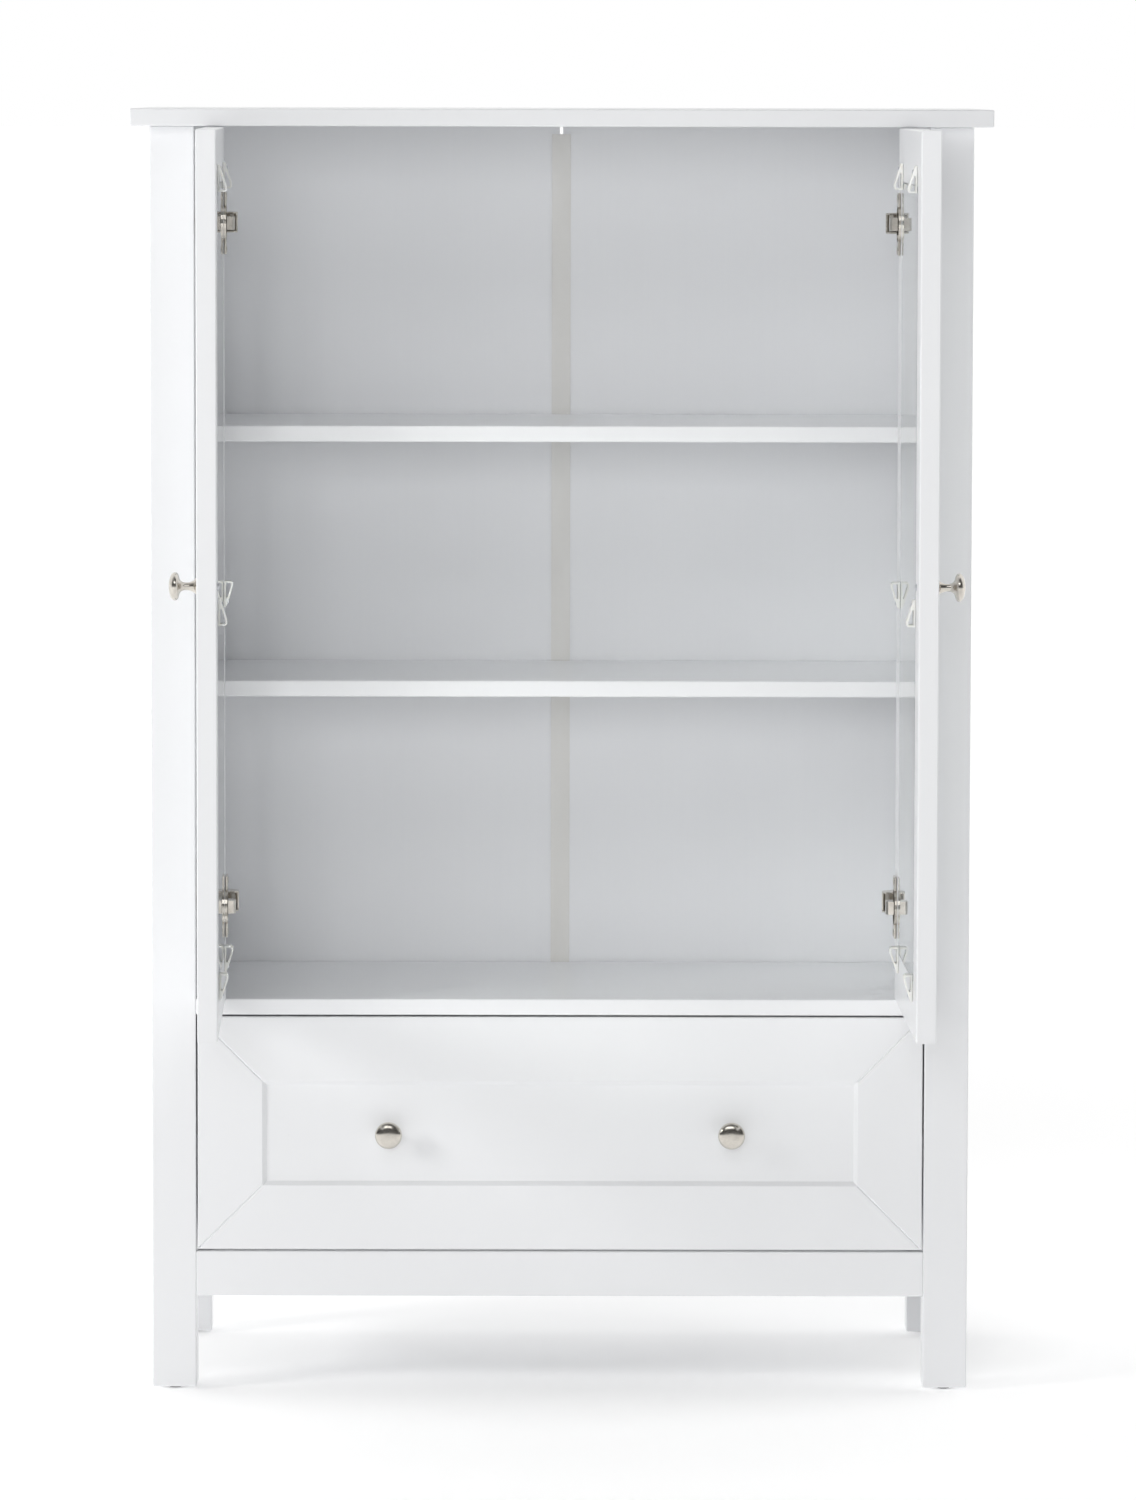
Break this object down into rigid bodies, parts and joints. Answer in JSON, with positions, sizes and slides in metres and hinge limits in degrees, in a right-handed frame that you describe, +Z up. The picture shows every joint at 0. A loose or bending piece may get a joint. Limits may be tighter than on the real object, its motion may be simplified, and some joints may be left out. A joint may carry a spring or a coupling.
{
  "type": "armoire",
  "caption": "White painted armoire on square legs: framed glass doors on concealed hinges over shelves and a wide drawer, with an overhanging top board.",
  "frame": {"origin": "on the surface the armoire stands on, under the middle of its box as it stands with its doors open", "axes": "+Z up, -Y out of the cabinet's front towards the person who opens it, +X to that person's right"},
  "size_m": [0.795, 0.6922, 1.193],
  "materials": {
    "white_paint": "satin white paint over fibreboard",
    "white_foil": "matt white foil over thin fibreboard",
    "satin_nickel": "satin nickel plate",
    "zinc_steel": "bright zinc plate",
    "clear_glass": "clear polished glass",
    "milky_plastic": "translucent milky plastic",
    "grey_plastic": "warm grey extruded plastic",
    "black_plastic": "black moulded plastic"
  },
  "bodies": {
    "carcass": {"top_board": "white_paint", "front_leg_left": "white_paint", "front_leg_right": "white_paint", "rear_leg_left": "white_paint", "rear_leg_right": "white_paint", "foot_glide_front_left": "black_plastic", "foot_glide_front_right": "black_plastic", "foot_glide_rear_left": "black_plastic", "foot_glide_rear_right": "black_plastic", "side_panel_left": "white_paint", "side_panel_right": "white_paint", "cabinet_floor": "white_paint", "shelf_lower": "white_paint", "shelf_upper": "white_paint", "back_panel_left": "white_foil", "back_panel_right": "white_foil", "back_joining_strip": "grey_plastic", "apron_front": "white_paint", "apron_rear": "white_paint", "drawer_runner_left": "zinc_steel", "drawer_runner_right": "zinc_steel", "hinge_arm_upper_left": "satin_nickel", "hinge_arm_lower_left": "satin_nickel", "hinge_arm_upper_right": "satin_nickel", "hinge_arm_lower_right": "satin_nickel"},
    "left_door": {"door_hinge_stile_left": "white_paint", "door_lead_stile_left": "white_paint", "door_bottom_rail_left": "white_paint", "door_top_rail_left": "white_paint", "door_glass_left": "clear_glass", "door_knob_left": "satin_nickel", "hinge_cup_upper_left": "satin_nickel", "hinge_cup_lower_left": "satin_nickel", "glass_clip_top_hinge_left": "milky_plastic", "glass_clip_top_lead_left": "milky_plastic", "glass_clip_mid_hinge_left": "milky_plastic", "glass_clip_mid_lead_left": "milky_plastic", "glass_clip_bottom_hinge_left": "milky_plastic", "glass_clip_bottom_lead_left": "milky_plastic"},
    "right_door": {"door_hinge_stile_right": "white_paint", "door_lead_stile_right": "white_paint", "door_bottom_rail_right": "white_paint", "door_top_rail_right": "white_paint", "door_glass_right": "clear_glass", "door_knob_right": "satin_nickel", "hinge_cup_upper_right": "satin_nickel", "hinge_cup_lower_right": "satin_nickel", "glass_clip_top_hinge_right": "milky_plastic", "glass_clip_top_lead_right": "milky_plastic", "glass_clip_mid_hinge_right": "milky_plastic", "glass_clip_mid_lead_right": "milky_plastic", "glass_clip_bottom_hinge_right": "milky_plastic", "glass_clip_bottom_lead_right": "milky_plastic"},
    "drawer": {"drawer_front": "white_paint", "drawer_side_left": "white_foil", "drawer_side_right": "white_foil", "drawer_back": "white_foil", "drawer_bottom": "white_foil", "drawer_knob_left": "satin_nickel", "drawer_knob_right": "satin_nickel"}
  },
  "joints": [
    {"name": "left_door_hinge", "type": "hinge", "parent": "carcass", "child": "left_door", "pos_m": [-0.33225, -0.01514, 0.7725], "axis": [0, 0, -1], "range_deg": [-88.8, 16.2]},
    {"name": "right_door_hinge", "type": "hinge", "parent": "carcass", "child": "right_door", "pos_m": [0.33225, -0.01514, 0.7725], "axis": [0, 0, 1], "range_deg": [-90.7, 14.3]},
    {"name": "drawer_slide", "type": "slide", "parent": "carcass", "child": "drawer", "axis": [0, -1, 0], "range_m": [0, 0.2]}
  ]
}
